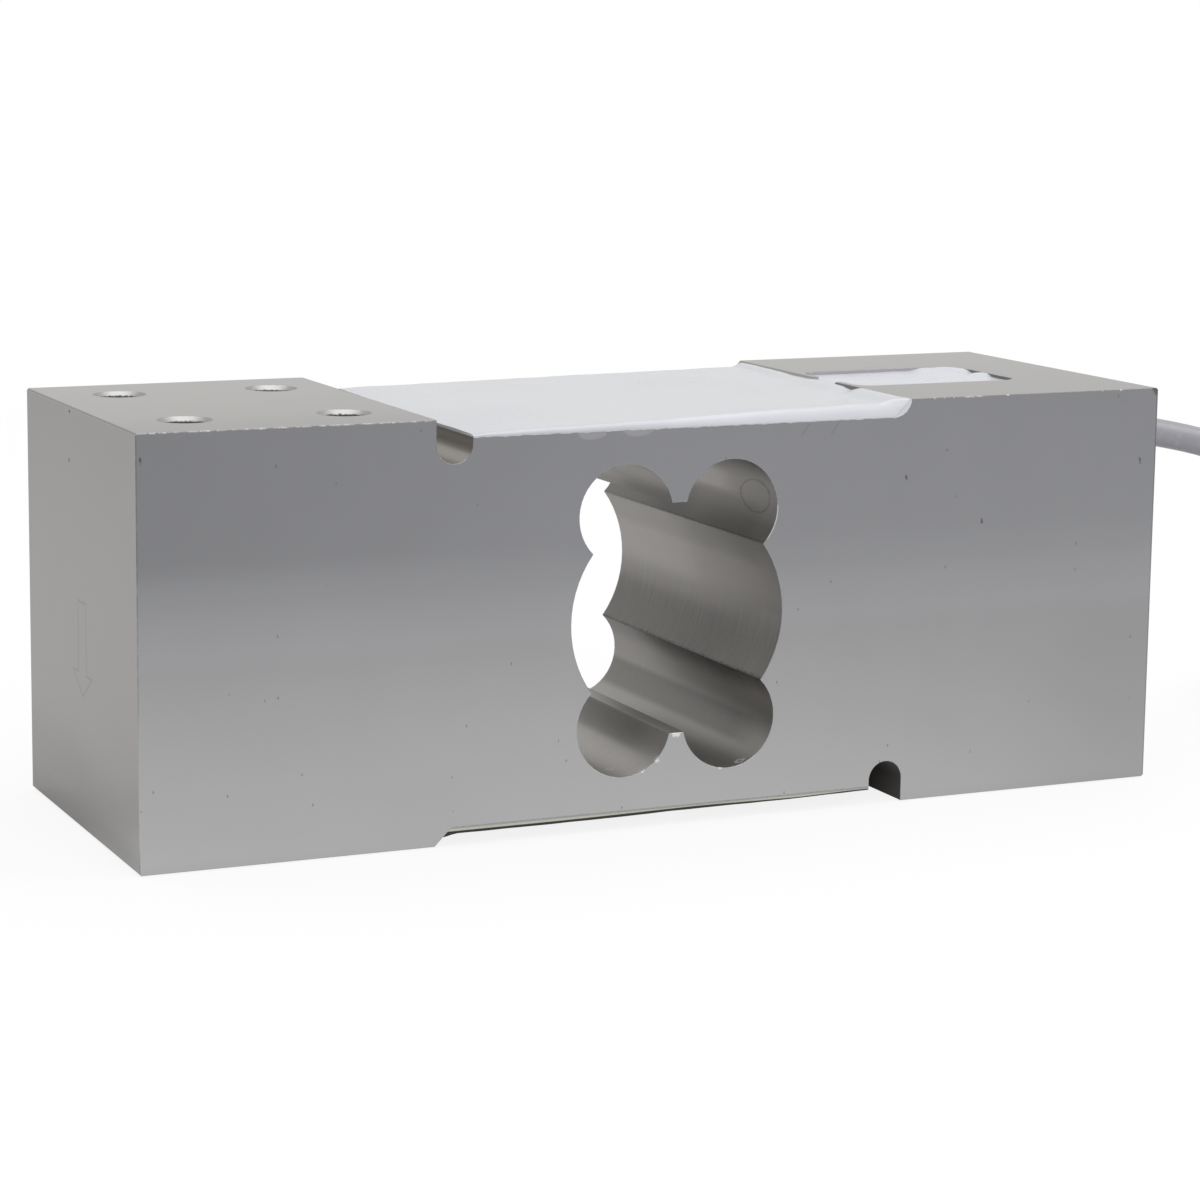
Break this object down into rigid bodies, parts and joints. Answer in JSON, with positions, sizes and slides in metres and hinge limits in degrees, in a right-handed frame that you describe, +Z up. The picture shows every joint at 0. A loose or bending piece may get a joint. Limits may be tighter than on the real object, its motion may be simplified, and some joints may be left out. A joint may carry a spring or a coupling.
{
  "type": "single point load cell",
  "caption": "Rectangular aluminium bar load cell with a lobed cut-out, tapped mounting pads, silicone-covered gauges, a potted pocket and a grey signal cable.",
  "frame": {"origin": "on the floor under the middle of the block, which stands on its two lower pads", "axes": "+X along the block towards the cable end, -Y the front face, +Z up, the way the load pad faces"},
  "size_m": [0.321, 0.06, 0.066],
  "materials": {
    "aluminium": "milled and brushed, sharp edges",
    "silicone": "glossy white",
    "gauge_film": "translucent amber film",
    "gauge_foil": "etched foil",
    "copper_pads": "tinned copper",
    "tinned_wire": "tinned",
    "lead_insulation": "thin insulation",
    "foam_tape": "foam",
    "board": "glass-epoxy",
    "resistor": "ceramic",
    "seal_rubber": "matt",
    "cable_jacket": "smooth satin jacket",
    "tie_nylon": "natural nylon",
    "shrink_sleeve": "shrunk sleeve",
    "pigtail_sleeve": "thin sleeve",
    "core_red": "insulation",
    "core_black": "insulation",
    "core_green": "insulation",
    "core_white": "insulation"
  },
  "bodies": {
    "root": {"board_solder_pads": "copper_pads", "board_tape": "foam_tape", "bottom_silicone": "silicone", "bridge_leads_bottom": "lead_insulation", "bridge_leads_top": "lead_insulation", "cable_hank": "cable_jacket", "cable_jacket_inside": "cable_jacket", "cable_run": "cable_jacket", "cable_seal": "seal_rubber", "cable_tie": "tie_nylon", "compensation_board": "board", "core_black_end": "core_black", "core_black_inside": "core_black", "core_green_end": "core_green", "core_green_inside": "core_green", "core_red_end": "core_red", "core_red_inside": "core_red", "core_white_end": "core_white", "core_white_inside": "core_white", "drain_wire_inside": "tinned_wire", "gauge_film_bottom_left": "gauge_film", "gauge_film_bottom_right": "gauge_film", "gauge_film_top_left": "gauge_film", "gauge_film_top_right": "gauge_film", "gauge_foil_bottom_left": "gauge_foil", "gauge_foil_bottom_right": "gauge_foil", "gauge_foil_top_left": "gauge_foil", "gauge_foil_top_right": "gauge_foil", "jumper_wires_bottom": "tinned_wire", "jumper_wires_top": "tinned_wire", "load_cell_body": "aluminium", "shield_pigtail_end": "pigtail_sleeve", "shrink_sleeve": "shrink_sleeve", "terminal_pads_bottom": "copper_pads", "terminal_pads_top": "copper_pads", "terminal_strip_bottom": "gauge_film", "terminal_strip_top": "gauge_film", "tinned_tips": "tinned_wire", "top_silicone": "silicone", "trim_resistors": "resistor"}
  },
  "joints": []
}
